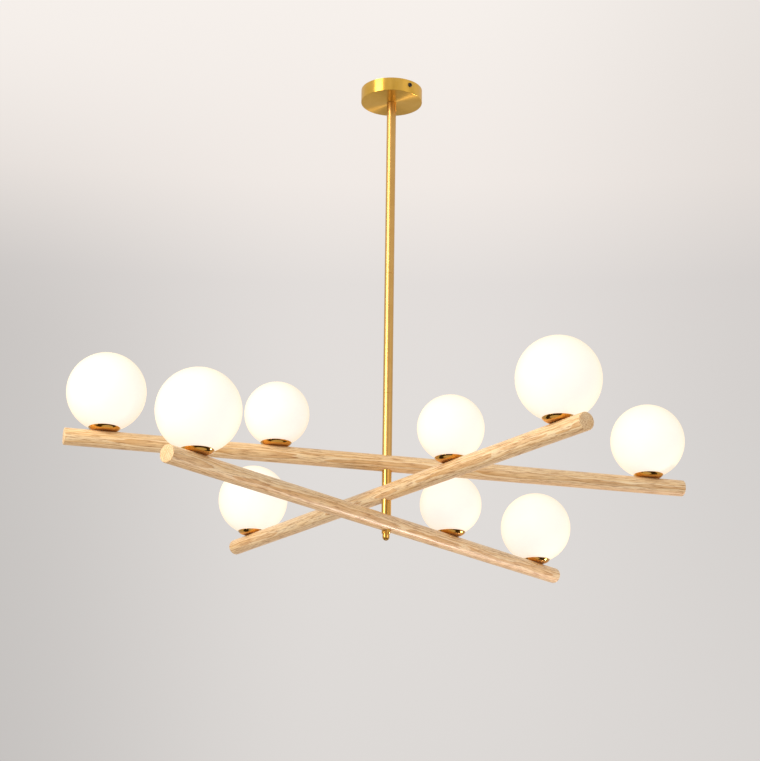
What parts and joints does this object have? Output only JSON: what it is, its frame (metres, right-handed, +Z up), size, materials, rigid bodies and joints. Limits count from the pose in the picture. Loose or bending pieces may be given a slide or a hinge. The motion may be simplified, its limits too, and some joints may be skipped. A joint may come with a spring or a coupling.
{
  "type": "orb chandelier",
  "caption": "Ceiling chandelier: a brass stem carries crossed round oak bars that swivel in plan, with lit opal glass globes standing in shallow brass dishes along them.",
  "frame": {"origin": "centre of the ceiling plate's top face, on the ceiling plane and on the stem's axis", "axes": "+Z up, +X to the right along the ceiling screw slots, +Y away from a viewer in front"},
  "size_m": [0.9674, 0.8662, 0.7572],
  "materials": {
    "satin_brass": "fine-brushed, lacquered",
    "polished_brass": "polished, lacquered",
    "threaded_brass": "machined and threaded",
    "oiled_oak": "turned, clear satin varnish",
    "opal_glass": "glossy opal, lit from inside",
    "lamp_glass": "frosted, lit",
    "holder_ceramic": "unglazed, fine-grained",
    "plate_steel": "pressed, zinc plated",
    "black_steel": "black oxide",
    "screw_steel": "zinc plated",
    "terminal_polyamide": "moulded, matte",
    "washer_nylon": "moulded, matte",
    "lead_insulation": "extruded silicone sleeve"
  },
  "bodies": {
    "root": {"ceiling_plate": "plate_steel", "canopy": "satin_brass", "canopy_side_screws": "black_steel", "ceiling_nipple": "threaded_brass", "ceiling_locknut": "screw_steel", "terminal_block": "terminal_polyamide", "terminal_clamp_screws": "screw_steel", "terminal_fixing_screws": "screw_steel", "earth_screw": "screw_steel", "upper_rod": "satin_brass", "middle_rod": "satin_brass", "lower_rod": "satin_brass", "rod_couplings": "threaded_brass", "tie_tube": "threaded_brass", "upper_spacer": "polished_brass", "lower_spacer": "polished_brass", "swivel_washers": "washer_nylon", "finial": "polished_brass", "stem_leads": "lead_insulation"},
    "upper_bar": {"upper_bar": "oiled_oak", "upper_bar_leads": "lead_insulation", "upper_bar_nipples": "threaded_brass", "upper_bar_lamp_holders": "holder_ceramic", "upper_left_dish": "polished_brass", "upper_left_lamp": "lamp_glass", "upper_inner_dish": "polished_brass", "upper_inner_lamp": "lamp_glass", "upper_right_dish": "polished_brass", "upper_right_lamp": "lamp_glass"},
    "middle_bar": {"middle_bar": "oiled_oak", "middle_bar_leads": "lead_insulation", "middle_bar_nipples": "threaded_brass", "middle_bar_lamp_holders": "holder_ceramic", "middle_back_dish": "polished_brass", "middle_back_lamp": "lamp_glass", "middle_inner_dish": "polished_brass", "middle_inner_lamp": "lamp_glass", "middle_front_dish": "polished_brass", "middle_front_lamp": "lamp_glass"},
    "lower_bar": {"lower_bar": "oiled_oak", "lower_bar_leads": "lead_insulation", "lower_bar_nipples": "threaded_brass", "lower_bar_lamp_holders": "holder_ceramic", "lower_front_dish": "polished_brass", "lower_front_lamp": "lamp_glass", "lower_inner_dish": "polished_brass", "lower_inner_lamp": "lamp_glass", "lower_back_dish": "polished_brass", "lower_back_lamp": "lamp_glass"},
    "upper_left_globe": {"upper_left_globe": "opal_glass"},
    "upper_inner_globe": {"upper_inner_globe": "opal_glass"},
    "upper_right_globe": {"upper_right_globe": "opal_glass"},
    "middle_back_globe": {"middle_back_globe": "opal_glass"},
    "middle_inner_globe": {"middle_inner_globe": "opal_glass"},
    "middle_front_globe": {"middle_front_globe": "opal_glass"},
    "lower_front_globe": {"lower_front_globe": "opal_glass"},
    "lower_inner_globe": {"lower_inner_globe": "opal_glass"},
    "lower_back_globe": {"lower_back_globe": "opal_glass"}
  },
  "joints": [
    {"name": "upper_bar_swivel", "type": "hinge", "parent": "root", "child": "upper_bar", "pos_m": [0, 0, -0.63512], "axis": [0, 0, 1], "range_deg": [-25, 7]},
    {"name": "middle_bar_swivel", "type": "hinge", "parent": "root", "child": "middle_bar", "pos_m": [0, 0, -0.68212], "axis": [0, 0, 1], "range_deg": [-20, 25]},
    {"name": "lower_bar_swivel", "type": "hinge", "parent": "root", "child": "lower_bar", "pos_m": [0, 0, -0.72912], "axis": [0, 0, 1], "range_deg": [-7, 20]},
    {"name": "upper_left_globe_lift", "type": "slide", "parent": "upper_bar", "child": "upper_left_globe", "axis": [0, 0, 1], "range_m": [0, 0.08]},
    {"name": "upper_inner_globe_lift", "type": "slide", "parent": "upper_bar", "child": "upper_inner_globe", "axis": [0, 0, 1], "range_m": [0, 0.08]},
    {"name": "upper_right_globe_lift", "type": "slide", "parent": "upper_bar", "child": "upper_right_globe", "axis": [0, 0, 1], "range_m": [0, 0.08]},
    {"name": "middle_back_globe_lift", "type": "slide", "parent": "middle_bar", "child": "middle_back_globe", "axis": [0, 0, 1], "range_m": [0, 0.08]},
    {"name": "middle_inner_globe_lift", "type": "slide", "parent": "middle_bar", "child": "middle_inner_globe", "axis": [0, 0, 1], "range_m": [0, 0.08]},
    {"name": "middle_front_globe_lift", "type": "slide", "parent": "middle_bar", "child": "middle_front_globe", "axis": [0, 0, 1], "range_m": [0, 0.08]},
    {"name": "lower_front_globe_lift", "type": "slide", "parent": "lower_bar", "child": "lower_front_globe", "axis": [0, 0, 1], "range_m": [0, 0.08]},
    {"name": "lower_inner_globe_lift", "type": "slide", "parent": "lower_bar", "child": "lower_inner_globe", "axis": [0, 0, 1], "range_m": [0, 0.08]},
    {"name": "lower_back_globe_lift", "type": "slide", "parent": "lower_bar", "child": "lower_back_globe", "axis": [0, 0, 1], "range_m": [0, 0.08]}
  ]
}
